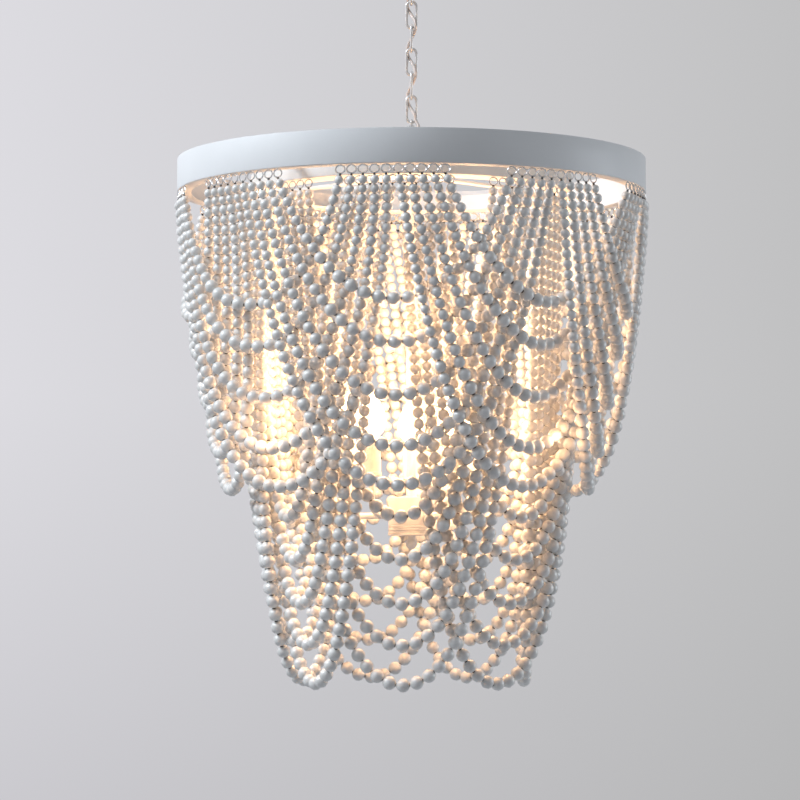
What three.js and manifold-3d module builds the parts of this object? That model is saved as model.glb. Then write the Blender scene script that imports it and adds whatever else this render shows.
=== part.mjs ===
// A two-tier beaded chandelier on a link chain.
// Millimetres, +Z up. The origin is the middle of the ceiling plane, so the lamp hangs along -Z.
// The front of the lamp looks along -Y. Turns about Z are counted from the front towards +X.

import * as THREE from 'three';
import { mergeVertices } from 'three/addons/utils/BufferGeometryUtils.js';
import Module from 'manifold-3d';

const manifoldLibrary = await Module();
manifoldLibrary.setup();

const fullTurn = Math.PI * 2;
const halfTurn = Math.PI;
const quarterTurn = Math.PI / 2;
const touchGap = 0.3;
const cutOverrun = 1;

const finishes = {
  whitePaint: new THREE.MeshStandardMaterial({ color: 0xe8e8ea, roughness: 0.55, metalness: 0 }),
  chainPaint: new THREE.MeshStandardMaterial({ color: 0xe4dfd8, roughness: 0.35, metalness: 0.2 }),
  steel: new THREE.MeshStandardMaterial({ color: 0xb8babd, roughness: 0.35, metalness: 0.9 }),
  clearCord: new THREE.MeshStandardMaterial({ color: 0xcfc2b4, roughness: 0.3, metalness: 0 }),
  beads: new THREE.MeshStandardMaterial({ color: 0xc9cbd2, roughness: 0.4, metalness: 0 }),
  candleSleeve: new THREE.MeshStandardMaterial({ color: 0xf0ebe0, roughness: 0.5, metalness: 0 }),
  bulbGlass: new THREE.MeshStandardMaterial({ color: 0xfff0d0, roughness: 0.2, metalness: 0 }),
};

const chandelier = new THREE.Group();

function addPiece(name, geometry, finish, turn = 0) {
  const piece = new THREE.Mesh(geometry, finish);
  piece.name = name;
  piece.rotation.z = turn;
  chandelier.add(piece);
  return piece;
}

function toSolid(geometry) {
  const bare = geometry.clone();
  bare.deleteAttribute('normal');
  bare.deleteAttribute('uv');
  const merged = mergeVertices(bare);
  return new manifoldLibrary.Manifold(new manifoldLibrary.Mesh({
    numProp: 3,
    vertProperties: new Float32Array(merged.attributes.position.array),
    triVerts: new Uint32Array(merged.index.array),
  }));
}

function toGeometry(solid) {
  const mesh = solid.getMesh();
  const geometry = new THREE.BufferGeometry();
  geometry.setAttribute('position', new THREE.BufferAttribute(mesh.vertProperties, mesh.numProp));
  geometry.setIndex(new THREE.BufferAttribute(mesh.triVerts, 1));
  return geometry;
}

function joined(geometries) {
  return toGeometry(geometries.map(toSolid).reduce((whole, next) => whole.add(next)));
}

function cut(geometry, tools) {
  return toGeometry(tools.map(toSolid).reduce((rest, tool) => rest.subtract(tool), toSolid(geometry)));
}

// A profile of [radius, height] pairs, listed so that the solid lies to the left of the line.
function turned(profile, segments) {
  const points = profile.map(([radius, height]) => new THREE.Vector2(radius, height));
  return new THREE.LatheGeometry(points, segments).rotateX(quarterTurn);
}

function uprightCylinder(radius, bottom, top, segments) {
  return turned([[0, bottom], [radius, bottom], [radius, top], [0, top]], segments);
}

function meshFrom(points, faces) {
  const geometry = new THREE.BufferGeometry();
  const positions = points.flatMap((point) => [point.x, point.y, point.z]);
  geometry.setAttribute('position', new THREE.Float32BufferAttribute(positions, 3));
  geometry.setIndex(faces);
  return geometry;
}

// The faces between two neighbouring rings of a tube.
function tubeSpan(here, there, sides) {
  const faces = [];
  for (let side = 0; side < sides; side += 1) {
    const next = (side + 1) % sides;
    faces.push(here + side, here + next, there + next);
    faces.push(here + side, there + next, there + side);
  }
  return faces;
}

function closedTube(rings) {
  const sides = rings[0].length;
  const faces = rings.flatMap((ring, index) => (
    tubeSpan(index * sides, ((index + 1) % rings.length) * sides, sides)
  ));
  return meshFrom(rings.flat(), faces);
}

// An open tube that runs to a point at both ends.
function tippedTube(startTip, rings, endTip) {
  const sides = rings[0].length;
  const last = (rings.length - 1) * sides;
  const startPoint = rings.length * sides;
  const faces = [];
  for (let here = 0; here < last; here += sides) faces.push(...tubeSpan(here, here + sides, sides));
  for (let side = 0; side < sides; side += 1) {
    const next = (side + 1) % sides;
    faces.push(startPoint, next, side);
    faces.push(startPoint + 1, last + side, last + next);
  }
  return meshFrom([...rings.flat(), startTip, endTip], faces);
}

// A round wire ring in the XZ plane.
function uprightRing(middleRadius, wireRadius, sides, steps) {
  return new THREE.TorusGeometry(middleRadius, wireRadius, sides, steps).rotateX(quarterTurn);
}

// A wire bent to a long ring in the XZ plane, with straight sides and round ends.
function linkGeometry({ halfWidth, halfLength, wireRadius, bowSteps, sides }) {
  const rings = [];
  for (const end of [1, -1]) {
    for (let step = 0; step <= bowSteps; step += 1) {
      const angle = halfTurn * (step / bowSteps) + (end < 0 ? halfTurn : 0);
      const outward = new THREE.Vector3(Math.cos(angle), 0, Math.sin(angle));
      const centre = outward.clone().multiplyScalar(halfWidth);
      centre.z += end * (halfLength - halfWidth);
      const ring = [];
      for (let side = 0; side < sides; side += 1) {
        const around = fullTurn * (side / sides);
        ring.push(centre.clone()
          .addScaledVector(outward, wireRadius * Math.cos(around))
          .add(new THREE.Vector3(0, wireRadius * Math.sin(around), 0)));
      }
      rings.push(ring);
    }
  }
  return closedTube(rings);
}

// Ceiling fitting
const canopyRadius = 60;
const canopyHeight = 25;
const canopyWall = 1.2;
const canopyEdgeRadius = 7;
const canopySegments = 18;
const nippleRadius = 5;
const bracketLength = 96;
const bracketWidth = 16;
const bracketThickness = 2;
const bracketDrop = 7;
const bracketFootLength = 24;
const bracketBendLength = 5;
const bracketSlotLength = 12;
const bracketSlotWidth = 5;
const nutAcross = 16;
const nutHeight = 3.5;
const collarRadius = 12;
const collarHeight = 7.4;
const loopBodyRadius = 8;
const loopBodyHeight = 9;
const loopMiddleRadius = 10;
const loopWire = 4;

// Chain and supply cord
const linkCount = 6;
const linkWire = 3.5;
const linkInnerLength = 30.9;
const linkWidth = 16;
const cordDiameter = 4.2;
const cordSway = 7.8;
const cordPastLoop = 12;
const cordHoleSlack = 0.5;
const capCordShare = 0.6;

// Rings that carry the bead strings
const outerBandRadius = 300;
const outerBandHeight = 42.4;
const bandWall = 1.2;
const outerFlangeWidth = 18;
const innerRadiusShare = 0.685;
const innerBandRadius = outerBandRadius * innerRadiusShare;
const innerBandHeight = 23.5;
const innerFlangeWidth = 34;
const bandSegments = 40;
const chainFootAboveBand = 53;

// Frame and stem
const barWidth = 14;
const barThickness = 3;
const barCount = 4;
const spiderDiscRadius = 26;
const stemRadius = 6.5;
const stemWall = 1.5;
const capRimRadius = 19;
const capHeight = 15;
const capWall = 1.5;
const capTopRadius = 8;
const eyeWire = 3;
const eyeInnerWidth = 9;
const eyeInnerHeight = 5.2;
const eyeWasherRadius = 6.5;
const eyeWasherHeight = 1.5;
const eyeShankLength = 14;

// Hub and lamps
const hubRadius = 29.5;
const hubHeight = 46;
const hubWall = 1.5;
const hubTopBelowBand = 388;
const coverHeight = 3;
const coverOverhang = 1;
const finialBallRadius = 7.5;
const finialNeckRadius = 5.4;
const finialNeckHeight = 2;
const finialStudRadius = 4.6;
const finialStudLength = 12;
const lampCount = 5;
const lampCircleRadius = 85;
const armRadius = 4;
const armBelowHubTop = 24;
const armBend = 18;
const armRise = 48;
const holderRadius = 12;
const holderHeight = 47;
const holderBoreDepth = 26;
const lampCapRadius = 7;
const lampCapLength = 25;
const bulbRadius = 18;
const bulbLength = 92;

// Bead strings. The bulge shares are of the hanging radius, for the shortest and the longest
// string of a set. The powers say how soon a bulge closes towards the loops, and the swap share
// how soon a string passes from over to under, as a share of its length.
const hangingInset = 1;
const outerTier = {
  name: 'outer_swag',
  groups: 9,
  hangingRadius: outerBandRadius - hangingInset,
  loopPitch: 13.85,
  lowestDrop: 379,
  dropShares: [0.4195, 0.5528, 0.7177, 0.8773, 1],
  bulgeOutShares: [0.097, 0.037],
  bulgeOutPower: 1.2,
  bulgeInShares: [0.0067, 0.067],
  bulgeInPower: 6,
  swapShare: 0.1,
  frontSide: -1,
};
const innerTier = {
  name: 'inner_swag',
  groups: 7,
  hangingRadius: innerBandRadius - hangingInset,
  loopPitch: 13.9,
  lowestDrop: 621.5,
  dropShares: [0.6693, 0.753, 0.8399, 0.922, 1],
  bulgeOutShares: [0.1345, 0.1245],
  bulgeOutPower: 5,
  bulgeInShares: [0.0025, 0.008],
  bulgeInPower: 5,
  swapShare: 0.082,
  frontSide: 1,
};
const swagTurnShare = -0.0128;
const loopsPerGroup = 10;
const loopWireDiameter = 1.3;
const loopHeight = 11.8;
const loopSides = 6;
const loopLap = 0.4;
const level = new THREE.Vector3(0, 1, 0);
const smallBead = 11;
const largeBead = 16;
const knotLength = 5;
const gradeStartShare = 0.3;
const gradeEndShare = 0.8;
const strandSteps = [4, 4, 5, 5, 5];
const strandStepPower = 1.9;
const stringSides = 3;

// Heights that follow from the sizes above
const ceiling = 0;
const canopyUnderside = ceiling - canopyHeight;
const collarTop = canopyUnderside - touchGap;
const collarBottom = collarTop - collarHeight;
const loopBodyTop = collarBottom - touchGap;
const loopBodyBottom = loopBodyTop - loopBodyHeight;
const loopSocketFloor = loopBodyBottom + loopWire / 2 + touchGap;
const loopCentre = loopBodyBottom - loopMiddleRadius;
const chainPitch = linkInnerLength - touchGap;
const firstContact = loopCentre - (loopMiddleRadius - loopWire / 2) + touchGap / 2;
const contactHeight = (index) => firstContact - index * chainPitch;
const lastContact = contactHeight(linkCount);
const outerBandTop = lastContact - chainFootAboveBand;
const bandBottom = outerBandTop - outerBandHeight;
const loopCentreHeight = bandBottom - touchGap - loopHeight / 2;
const spiderBottom = bandBottom + innerBandHeight + touchGap;
const spiderTop = spiderBottom + barThickness;
const eyeInnerTop = lastContact + touchGap / 2;
const eyeCentre = eyeInnerTop - eyeInnerHeight / 2;
const eyeWasherTop = eyeCentre - eyeInnerHeight / 2 - eyeWire / 2;
const eyeWasherBottom = eyeWasherTop - eyeWasherHeight;
const capTop = eyeWasherBottom - touchGap;
const stemTop = capTop - capWall - touchGap;
const hubTop = bandBottom - hubTopBelowBand;
const hubBottom = hubTop - hubHeight;
const coverTop = hubBottom - touchGap;
const coverBottom = coverTop - coverHeight;
const stemBottom = hubBottom + hubWall;
const armHeight = hubTop - armBelowHubTop;
const cordAtCap = capRimRadius * capCordShare - cordDiameter / 2;
const holderBottom = armHeight + armRise + touchGap;
const holderTop = holderBottom + holderHeight;

function slot(length, width, height, centreX, topZ) {
  const outline = new THREE.Shape();
  const straight = length / 2 - width / 2;
  outline.absarc(straight, 0, width / 2, -quarterTurn, quarterTurn);
  outline.absarc(-straight, 0, width / 2, quarterTurn, quarterTurn + halfTurn);
  const tool = new THREE.ExtrudeGeometry(outline, { depth: height, bevelEnabled: false, curveSegments: 2 });
  return tool.translate(centreX, 0, topZ - height);
}

// A strap whose two feet lie on the ceiling and whose middle stands off to clear the nut.
function ceilingBracket() {
  const half = bracketLength / 2;
  const bend = half - bracketFootLength;
  const middle = bend - bracketBendLength;
  const leftTop = [[-half, 0], [-bend, 0], [-middle, -bracketDrop]];
  const top = [...leftTop, ...leftTop.map(([x, z]) => [-x, z]).reverse()];
  const under = top.map(([x, z]) => [x, z - bracketThickness]).reverse();
  const outline = new THREE.Shape([...top, ...under].map(([x, z]) => new THREE.Vector2(x, ceiling + z)));
  const strap = new THREE.ExtrudeGeometry(outline, { depth: bracketWidth, bevelEnabled: false })
    .rotateX(quarterTurn)
    .translate(0, bracketWidth / 2, 0);
  const reach = bracketDrop + bracketThickness + cutOverrun;
  const slotCentre = half - bracketFootLength / 2;
  const toolTop = ceiling + cutOverrun;
  return cut(strap, [
    uprightCylinder(nippleRadius + touchGap, ceiling - reach, toolTop, 12),
    slot(bracketSlotLength, bracketSlotWidth, reach, slotCentre, toolTop),
    slot(bracketSlotLength, bracketSlotWidth, reach, -slotCentre, toolTop),
  ]);
}

function canopyCover() {
  const rim = ceiling - touchGap;
  const outer = [];
  const inner = [];
  const cornerSteps = 2;
  for (let step = 0; step <= cornerSteps; step += 1) {
    const angle = quarterTurn * (step / cornerSteps);
    const innerEdge = canopyEdgeRadius - canopyWall;
    outer.push([
      canopyRadius - canopyEdgeRadius + canopyEdgeRadius * Math.sin(angle),
      canopyUnderside + canopyEdgeRadius - canopyEdgeRadius * Math.cos(angle),
    ]);
    inner.push([
      canopyRadius - canopyEdgeRadius + innerEdge * Math.sin(angle),
      canopyUnderside + canopyEdgeRadius - innerEdge * Math.cos(angle),
    ]);
  }
  const shell = turned([
    [0, canopyUnderside],
    ...outer,
    [canopyRadius, rim],
    [canopyRadius - canopyWall, rim],
    ...inner.reverse(),
    [0, canopyUnderside + canopyWall],
  ], canopySegments);
  const below = canopyUnderside - cutOverrun;
  const above = canopyUnderside + canopyWall + cutOverrun;
  const cordHole = uprightCylinder(cordDiameter / 2 + cordHoleSlack, below, above, 8);
  cordHole.translate(cordPastLoop, -cordPastLoop, 0);
  return cut(shell, [uprightCylinder(nippleRadius + touchGap, below, above, 12), cordHole]);
}

function hexNut() {
  const top = ceiling - bracketDrop + touchGap + nutHeight;
  const body = uprightCylinder(nutAcross / 2 / Math.cos(halfTurn / 6), top - nutHeight, top, 6);
  const foot = top - nutHeight;
  return cut(body, [uprightCylinder(nippleRadius + touchGap, foot - cutOverrun, top + cutOverrun, 12)]);
}

// A washer-shaped ring; its faceted bore still clears a round of the given radius.
function ringCollar(bottom, top, boreRadius, outerRadius, segments) {
  const innerRadius = boreRadius / Math.cos(halfTurn / segments);
  return turned([
    [innerRadius, bottom],
    [outerRadius, bottom],
    [outerRadius, top],
    [innerRadius, top],
    [innerRadius, bottom],
  ], segments);
}

function canopyLoop() {
  const ring = uprightRing(loopMiddleRadius, loopWire / 2, 6, 12).translate(0, 0, loopCentre);
  const body = turned([
    [0, loopBodyBottom],
    [loopBodyRadius, loopBodyBottom],
    [loopBodyRadius, loopBodyTop],
    [nippleRadius + touchGap, loopBodyTop],
    [nippleRadius + touchGap, loopSocketFloor],
    [0, loopSocketFloor],
  ], 12);
  return joined([body, ring]);
}

function nipple() {
  const top = ceiling - bracketDrop + nutHeight + touchGap * 2;
  return uprightCylinder(nippleRadius, loopSocketFloor + touchGap, top, 12);
}

// The cord crosses each link through its middle and passes every contact on one diagonal.
function cordRoute() {
  const points = [];
  const quarterPitch = chainPitch / 4;
  points.push(new THREE.Vector3(cordPastLoop, -cordPastLoop, canopyUnderside + canopyEdgeRadius));
  points.push(new THREE.Vector3(cordPastLoop, -cordPastLoop, canopyUnderside));
  points.push(new THREE.Vector3(cordPastLoop, -cordPastLoop, collarBottom));
  const sway = cordSway / Math.SQRT2;
  for (let quarter = 0; quarter <= linkCount * 4; quarter += 1) {
    const offset = sway * Math.cos(quarterTurn * quarter / 2);
    points.push(new THREE.Vector3(offset, -offset, firstContact - quarter * quarterPitch));
  }
  points.push(new THREE.Vector3(cordAtCap, -cordAtCap, capTop));
  points.push(new THREE.Vector3(cordAtCap, -cordAtCap, capTop - capHeight + touchGap));
  return new THREE.CatmullRomCurve3(points, false, 'centripetal');
}

function supplyCord() {
  const section = new THREE.Shape();
  section.absarc(0, 0, cordDiameter / 2, 0, fullTurn);
  const route = cordRoute();
  return new THREE.ExtrudeGeometry(section, {
    steps: linkCount * 5 + 2,
    curveSegments: 4,
    bevelEnabled: false,
    extrudePath: route,
  });
}

function chainLink() {
  return linkGeometry({
    halfWidth: (linkWidth - linkWire) / 2,
    halfLength: (linkInnerLength + linkWire) / 2,
    wireRadius: linkWire / 2,
    bowSteps: 6,
    sides: 6,
  });
}

function topEye() {
  const ring = uprightRing((eyeInnerWidth + eyeWire) / 2, eyeWire / 2, 5, 10);
  ring.scale(1, 1, (eyeInnerHeight + eyeWire) / (eyeInnerWidth + eyeWire));
  ring.rotateZ(quarterTurn).translate(0, 0, eyeCentre);
  const shankRadius = stemRadius - stemWall - touchGap;
  const shank = turned([
    [0, eyeWasherBottom - eyeShankLength],
    [shankRadius, eyeWasherBottom - eyeShankLength],
    [shankRadius, eyeWasherBottom],
    [eyeWasherRadius, eyeWasherBottom],
    [eyeWasherRadius, eyeWasherTop],
    [0, eyeWasherTop],
  ], 12);
  return joined([shank, ring]);
}

// A small spun dome that covers the top of the stem.
function stemCap() {
  const rim = capTop - capHeight;
  const steps = 3;
  const endAngle = Math.acos(capTopRadius / capRimRadius);
  const riseUnit = capHeight / Math.sin(endAngle);
  const outer = [];
  const inner = [];
  for (let step = 0; step <= steps; step += 1) {
    const angle = endAngle * (step / steps);
    outer.push([capRimRadius * Math.cos(angle), rim + riseUnit * Math.sin(angle)]);
    inner.push([
      (capRimRadius - capWall) * Math.cos(angle),
      rim + (riseUnit - capWall * capHeight / (capHeight - capWall)) * Math.sin(angle),
    ]);
  }
  const innerTop = inner[inner.length - 1][1];
  const dome = turned([
    ...outer,
    [0, capTop],
    [0, innerTop],
    ...inner.reverse(),
    outer[0],
  ], 14);
  const shankHole = uprightCylinder(stemRadius - stemWall, innerTop - cutOverrun, capTop + cutOverrun, 12);
  const cordHole = uprightCylinder(cordDiameter / 2 + cordHoleSlack, rim + capWall, capTop + cutOverrun, 8);
  cordHole.translate(cordAtCap, -cordAtCap, 0);
  return cut(dome, [shankHole, cordHole]);
}

// A hoop of sheet with an inward flange along its lower edge.
function bandRing(radius, height, flangeWidth) {
  const top = bandBottom + height;
  const innerWall = radius - bandWall;
  return turned([
    [radius - flangeWidth, bandBottom],
    [radius, bandBottom],
    [radius, top],
    [innerWall, top],
    [innerWall, bandBottom + bandWall],
    [radius - flangeWidth, bandBottom + bandWall],
    [radius - flangeWidth, bandBottom],
  ], bandSegments);
}

// Flat bars from the stem to the outer band, which also lie on the inner band's edge.
function spider() {
  const barReach = (outerBandRadius - bandWall - touchGap) * Math.cos(halfTurn / bandSegments);
  const parts = [uprightCylinder(spiderDiscRadius, spiderBottom, spiderTop, 16)];
  for (let bar = 0; bar < barCount; bar += 1) {
    const strip = new THREE.BoxGeometry(barReach, barWidth, barThickness);
    strip.translate(barReach / 2, 0, (spiderBottom + spiderTop) / 2);
    strip.rotateZ(fullTurn / 8 + fullTurn * (bar / barCount));
    parts.push(strip);
  }
  const holeRadius = stemRadius + touchGap;
  const stemHole = uprightCylinder(holeRadius, spiderBottom - cutOverrun, spiderTop + cutOverrun, 12);
  return cut(joined(parts), [stemHole]);
}

function hubBody() {
  const floor = hubBottom;
  const shell = turned([
    [stemRadius + touchGap, hubTop - hubWall],
    [hubRadius - hubWall, hubTop - hubWall],
    [hubRadius - hubWall, floor],
    [hubRadius, floor],
    [hubRadius, hubTop],
    [stemRadius + touchGap, hubTop],
    [stemRadius + touchGap, hubTop - hubWall],
  ], 16);
  const tools = [];
  for (let lamp = 0; lamp < lampCount; lamp += 1) {
    const holeRadius = (armRadius + touchGap) / Math.cos(halfTurn / 6);
    const hole = new THREE.CylinderGeometry(holeRadius, holeRadius, hubRadius, 6);
    hole.translate(0, -hubRadius, 0).rotateZ(lampAngle(lamp)).translate(0, 0, armHeight);
    tools.push(hole);
  }
  return cut(shell, tools);
}

function hubCover() {
  const edge = hubRadius + coverOverhang;
  return ringCollar(coverBottom, coverTop, finialStudRadius + touchGap, edge, 18);
}

function finial() {
  const neckTop = coverBottom - touchGap;
  const ballCentre = neckTop - finialNeckHeight - finialBallRadius;
  const ballSteps = 4;
  const neckAngle = Math.asin(finialNeckRadius / finialBallRadius);
  const profile = [];
  for (let step = 0; step <= ballSteps; step += 1) {
    const angle = -quarterTurn + (halfTurn - neckAngle) * (step / ballSteps);
    const radius = step === 0 ? 0 : finialBallRadius * Math.cos(angle);
    profile.push([radius, ballCentre + finialBallRadius * Math.sin(angle)]);
  }
  profile.push([finialNeckRadius, neckTop]);
  profile.push([finialStudRadius, neckTop]);
  profile.push([finialStudRadius, neckTop + finialStudLength]);
  profile.push([0, neckTop + finialStudLength]);
  return turned(profile, 12);
}

function lampAngle(lamp) {
  return fullTurn * ((lamp + 0.5) / lampCount);
}

// A round bar that leaves the hub level and turns up under its lamp holder.
function lampArm() {
  const route = new THREE.CurvePath();
  const start = new THREE.Vector3(0, -(hubRadius - hubWall - armRadius), armHeight);
  const bendStart = new THREE.Vector3(0, -(lampCircleRadius - armBend), armHeight);
  const corner = new THREE.Vector3(0, -lampCircleRadius, armHeight);
  const bendEnd = new THREE.Vector3(0, -lampCircleRadius, armHeight + armBend);
  const end = new THREE.Vector3(0, -lampCircleRadius, armHeight + armRise);
  route.add(new THREE.LineCurve3(start, bendStart));
  route.add(new THREE.QuadraticBezierCurve3(bendStart, corner, bendEnd));
  route.add(new THREE.LineCurve3(bendEnd, end));
  const section = new THREE.Shape();
  section.absarc(0, 0, armRadius, 0, fullTurn);
  return new THREE.ExtrudeGeometry(section, {
    steps: 9,
    curveSegments: 3,
    bevelEnabled: false,
    extrudePath: route,
  });
}

function lampHolder() {
  const boreRadius = lampCapRadius + touchGap;
  return turned([
    [0, holderBottom],
    [holderRadius, holderBottom],
    [holderRadius, holderTop],
    [boreRadius, holderTop],
    [boreRadius, holderTop - holderBoreDepth],
    [0, holderTop - holderBoreDepth],
  ], 8).translate(0, -lampCircleRadius, 0);
}

// A candle bulb: the metal cap in the holder and the glass flame above it.
function bulb() {
  const capFoot = holderTop - holderBoreDepth + touchGap;
  const neck = capFoot + lampCapLength + touchGap * 3;
  const glassTop = capFoot + bulbLength;
  const glass = glassTop - neck;
  const glassOutlineShares = [[0.12, 0.72], [0.3, 1], [0.5, 0.86], [0.75, 0.42]];
  const flame = glassOutlineShares.map(([heightShare, radiusShare]) => (
    [bulbRadius * radiusShare, neck + glass * heightShare]
  ));
  return turned([
    [0, capFoot],
    [lampCapRadius, capFoot],
    [lampCapRadius, neck],
    ...flame,
    [0, glassTop],
  ], 8).translate(0, -lampCircleRadius, 0);
}

// The length in a catenary's formula that gives the wanted sag over the wanted half span.
function catenaryLength(halfSpan, sag) {
  let low = halfSpan / 40;
  let high = halfSpan * 40;
  for (let pass = 0; pass < 60; pass += 1) {
    const middle = Math.sqrt(low * high);
    const drop = middle * (Math.cosh(halfSpan / middle) - 1);
    if (drop > sag) low = middle;
    else high = middle;
  }
  return high;
}

function smoothStep(low, high, value) {
  const share = Math.min(1, Math.max(0, (value - low) / (high - low)));
  return share * share * (3 - 2 * share);
}

// How far a string stands out from the upright plane between its loops. One half lies over the
// neighbouring set and the other half under it, so that the sets cross without touching.
function bulgeAt(tier, nestShare, share) {
  const bulge = ([shortest, longest], power) => (
    tier.hangingRadius * THREE.MathUtils.lerp(shortest, longest, nestShare)
    * (1 - Math.abs(share * 2) ** power)
  );
  const outward = bulge(tier.bulgeOutShares, tier.bulgeOutPower);
  const inward = bulge(tier.bulgeInShares, tier.bulgeInPower);
  const over = (1 + Math.tanh(share * tier.frontSide / tier.swapShare)) / 2;
  return THREE.MathUtils.lerp(-inward, outward, over);
}

// One string: a catenary between two loops, set over or under its neighbours.
function beadString(tier, loopAngle, nestShare, drop, steps) {
  const halfSpan = tier.hangingRadius * Math.sin(loopAngle);
  const planeDistance = tier.hangingRadius * Math.cos(loopAngle);
  const topHeight = loopCentreHeight - (loopHeight / 2) * (1 - loopWireDiameter / loopWidth(tier));
  const sag = topHeight - (bandBottom - drop);
  const scale = catenaryLength(halfSpan, sag);
  const length = 2 * scale * Math.sinh(halfSpan / scale);
  const pointAt = (share) => {
    const along = scale * Math.asinh(share * length / scale);
    const height = topHeight - sag + scale * (Math.cosh(along / scale) - 1);
    return new THREE.Vector3(along, -planeDistance - bulgeAt(tier, nestShare, share), height);
  };
  const knotShare = 0.5 - knotLength / length;
  const shares = [];
  for (let step = 1 - steps; step < steps; step += 1) {
    shares.push(0.5 * Math.sign(step) * Math.abs(step / steps) ** strandStepPower);
  }
  const rings = [-knotShare, ...shares, knotShare].map((share) => {
    const grade = smoothStep(gradeStartShare, gradeEndShare, Math.abs(share) * 2);
    const radius = THREE.MathUtils.lerp(largeBead, smallBead, grade) / 2;
    const upright = new THREE.Vector3(-share * length / scale, 0, 1).normalize();
    const ring = [];
    for (let side = 0; side < stringSides; side += 1) {
      const around = fullTurn * (side / stringSides) + halfTurn;
      ring.push(pointAt(share)
        .addScaledVector(level, radius * Math.cos(around))
        .addScaledVector(upright, radius * Math.sin(around)));
    }
    return ring;
  });
  return tippedTube(pointAt(-0.5), rings, pointAt(0.5));
}

function loopWidth(tier) {
  return tier.loopPitch + loopLap;
}

function hangingLoop(tier, width, angle) {
  const ring = uprightRing((width - loopWireDiameter) / 2, loopWireDiameter / 2, 3, loopSides);
  ring.scale(1, 1, loopHeight / width / Math.cos(halfTurn / loopSides));
  ring.translate(0, -tier.hangingRadius, loopCentreHeight);
  return ring.rotateZ(angle);
}

// Five nested strings and the loops at their ends, which touch side by side at one end.
function swagSet(tier) {
  const groupAngle = fullTurn / tier.groups;
  const pitchAngle = tier.loopPitch / tier.hangingRadius;
  const halfGroupShift = (loopLap + touchGap) / 2 / tier.hangingRadius;
  const middleLoop = (loopsPerGroup + 1) / 2;
  const parts = [];
  tier.dropShares.forEach((dropShare, index) => {
    const place = index + 1;
    const angle = groupAngle - (middleLoop - place) * pitchAngle - halfGroupShift;
    const nestShare = index / (tier.dropShares.length - 1);
    const drop = tier.lowestDrop * dropShare;
    parts.push(beadString(tier, angle, nestShare, drop, strandSteps[index]));
    parts.push(hangingLoop(tier, loopWidth(tier), angle));
    parts.push(hangingLoop(tier, tier.loopPitch - touchGap, -angle));
  });
  return joined(parts);
}

addPiece('ceiling_bracket', ceilingBracket(), finishes.steel);
addPiece('bracket_nut', hexNut(), finishes.steel);
addPiece('canopy_nipple', nipple(), finishes.steel);
addPiece('canopy_cover', canopyCover(), finishes.whitePaint);
addPiece('canopy_collar', ringCollar(collarBottom, collarTop, nippleRadius + touchGap, collarRadius, 14),
  finishes.whitePaint);
addPiece('canopy_loop', canopyLoop(), finishes.chainPaint);
for (let index = 0; index < linkCount; index += 1) {
  const turn = index % 2 === 0 ? quarterTurn : 0;
  const link = addPiece(`chain_link_${index + 1}`, chainLink(), finishes.chainPaint, turn);
  link.position.z = (contactHeight(index) + contactHeight(index + 1)) / 2;
}
addPiece('supply_cord', supplyCord(), finishes.clearCord);
addPiece('top_eye', topEye(), finishes.chainPaint);
addPiece('stem_cap', stemCap(), finishes.whitePaint);
addPiece('stem', ringCollar(stemBottom, stemTop, stemRadius - stemWall, stemRadius, 12),
  finishes.whitePaint);
addPiece('frame_spider', spider(), finishes.whitePaint);
addPiece('spider_nut', ringCollar(spiderBottom - touchGap - nutHeight, spiderBottom - touchGap,
  stemRadius + touchGap, stemRadius + nutHeight, 6), finishes.steel);
addPiece('outer_band', bandRing(outerBandRadius, outerBandHeight, outerFlangeWidth),
  finishes.whitePaint);
addPiece('inner_band', bandRing(innerBandRadius, innerBandHeight, innerFlangeWidth),
  finishes.whitePaint);
addPiece('hub_body', hubBody(), finishes.whitePaint);
addPiece('hub_nut', ringCollar(hubTop - hubWall - touchGap - nutHeight, hubTop - hubWall - touchGap,
  stemRadius + touchGap, stemRadius + nutHeight, 6), finishes.steel);
addPiece('hub_cover', hubCover(), finishes.whitePaint);
addPiece('finial', finial(), finishes.whitePaint);
for (let lamp = 0; lamp < lampCount; lamp += 1) {
  const turn = lampAngle(lamp);
  addPiece(`lamp_arm_${lamp + 1}`, lampArm(), finishes.whitePaint, turn);
  addPiece(`lamp_holder_${lamp + 1}`, lampHolder(), finishes.candleSleeve, turn);
  addPiece(`bulb_${lamp + 1}`, bulb(), finishes.bulbGlass, turn);
}
for (const tier of [outerTier, innerTier]) {
  const set = swagSet(tier);
  for (let index = 0; index < tier.groups; index += 1) {
    const turn = fullTurn * (swagTurnShare + index / tier.groups);
    addPiece(`${tier.name}_${index + 1}`, set, finishes.beads, turn);
  }
}

export default chandelier;
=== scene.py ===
import bisect
import math
import random
import bpy
import bmesh
from mathutils import Matrix, Vector


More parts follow.
